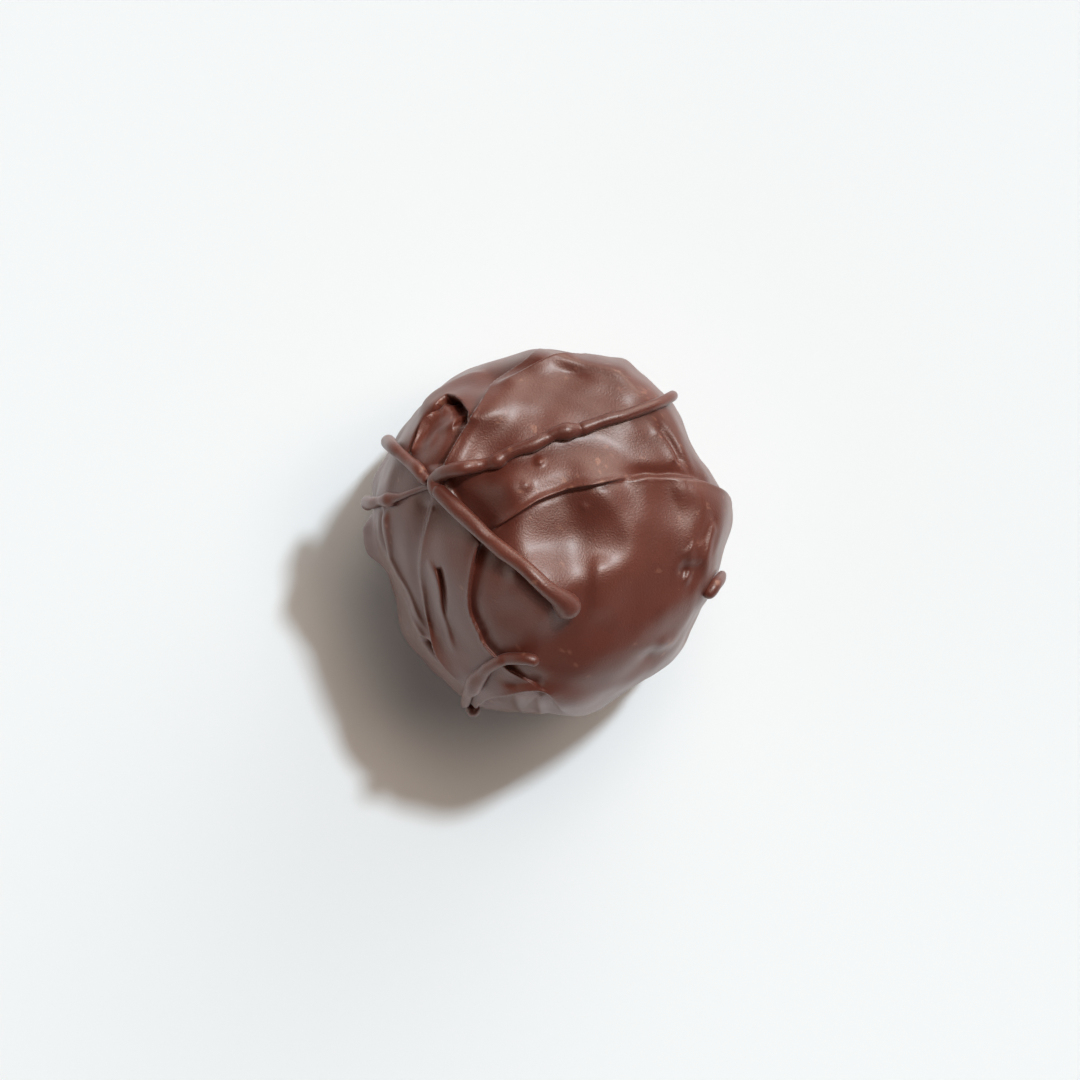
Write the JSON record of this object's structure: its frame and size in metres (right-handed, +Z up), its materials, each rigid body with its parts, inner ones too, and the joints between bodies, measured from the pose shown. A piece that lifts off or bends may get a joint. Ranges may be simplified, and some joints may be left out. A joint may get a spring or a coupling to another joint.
{
  "type": "chocolate truffle",
  "caption": "Round hand-dipped chocolate truffle with folds in its coat and thin chocolate threads drizzled over the top, on a small flat foot.",
  "frame": {"origin": "centre of the flat foot, where the truffle rests on the table", "axes": "+Z up from the foot through the middle of the ball to the drizzled top, +Y towards the facet beyond the long thread, +X towards the right shoulder"},
  "size_m": [0.0291, 0.0282, 0.028],
  "materials": {
    "chocolate": "set milk chocolate with a satin gloss, paler on thin crests"
  },
  "bodies": {
    "root": {"truffle": "chocolate"}
  },
  "joints": []
}
